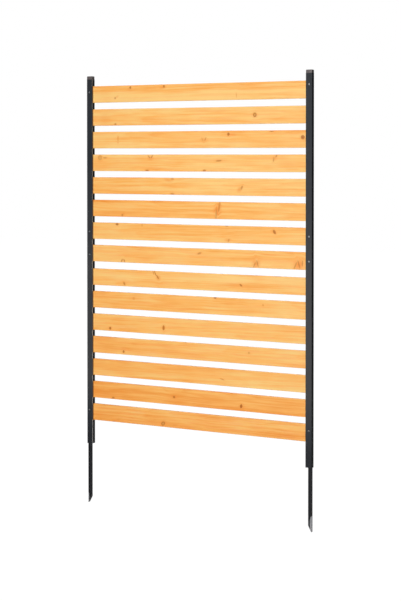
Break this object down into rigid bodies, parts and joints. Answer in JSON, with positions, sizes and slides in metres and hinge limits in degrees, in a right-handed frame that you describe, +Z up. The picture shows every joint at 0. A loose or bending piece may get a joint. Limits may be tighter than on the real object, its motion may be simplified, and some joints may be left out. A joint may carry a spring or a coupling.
{
  "type": "garden privacy screen",
  "caption": "Upright garden privacy screen: level softwood slats with air gaps, held between two dark metal U-channel posts that stand on pointed ground spikes.",
  "frame": {"origin": "bottom centre of the whole screen: midway between the posts, halfway through the overall depth, level with the lowest points of the spikes", "axes": "+X across the screen to the right as seen from the front, +Y from front to back, +Z up; the screw heads on the post flanges are at the front"},
  "size_m": [0.903, 0.019, 1.5607],
  "materials": {
    "slat_wood": "planed softwood with a honey-coloured stain, knots and flame grain, satin",
    "post_coating": "charcoal powder coat, fine texture, satin",
    "spike_coating": "dark grey paint, worn to bare zinc at the tip",
    "cap_plastic": "moulded warm dark grey plastic, matte",
    "block_plastic": "black plastic, matte",
    "screw_steel": "zinc-plated steel, satin"
  },
  "bodies": {
    "frame": {"slat_01": "slat_wood", "slat_02": "slat_wood", "slat_03": "slat_wood", "slat_04": "slat_wood", "slat_05": "slat_wood", "slat_06": "slat_wood", "slat_07": "slat_wood", "slat_08": "slat_wood", "slat_09": "slat_wood", "slat_10": "slat_wood", "slat_11": "slat_wood", "slat_12": "slat_wood", "slat_13": "slat_wood", "slat_14": "slat_wood", "slat_15": "slat_wood", "left_post": "post_coating", "left_post_cap": "cap_plastic", "left_foot_block": "block_plastic", "left_panel_screws": "screw_steel", "left_block_screws": "screw_steel", "left_clamp_screws": "screw_steel", "left_spacer_01": "block_plastic", "left_spacer_02": "block_plastic", "left_spacer_03": "block_plastic", "left_spacer_04": "block_plastic", "left_spacer_05": "block_plastic", "left_spacer_06": "block_plastic", "left_spacer_07": "block_plastic", "left_spacer_08": "block_plastic", "left_spacer_09": "block_plastic", "left_spacer_10": "block_plastic", "left_spacer_11": "block_plastic", "left_spacer_12": "block_plastic", "left_spacer_13": "block_plastic", "left_spacer_14": "block_plastic", "right_post": "post_coating", "right_post_cap": "cap_plastic", "right_foot_block": "block_plastic", "right_panel_screws": "screw_steel", "right_block_screws": "screw_steel", "right_clamp_screws": "screw_steel", "right_spacer_01": "block_plastic", "right_spacer_02": "block_plastic", "right_spacer_03": "block_plastic", "right_spacer_04": "block_plastic", "right_spacer_05": "block_plastic", "right_spacer_06": "block_plastic", "right_spacer_07": "block_plastic", "right_spacer_08": "block_plastic", "right_spacer_09": "block_plastic", "right_spacer_10": "block_plastic", "right_spacer_11": "block_plastic", "right_spacer_12": "block_plastic", "right_spacer_13": "block_plastic", "right_spacer_14": "block_plastic"},
    "left_spike": {"left_spike": "spike_coating"},
    "right_spike": {"right_spike": "spike_coating"}
  },
  "joints": [
    {"name": "left_spike_slide", "type": "slide", "parent": "frame", "child": "left_spike", "axis": [0, 0, -1], "range_m": [0, 0.035]},
    {"name": "right_spike_slide", "type": "slide", "parent": "frame", "child": "right_spike", "axis": [0, 0, -1], "range_m": [0, 0.035]}
  ]
}
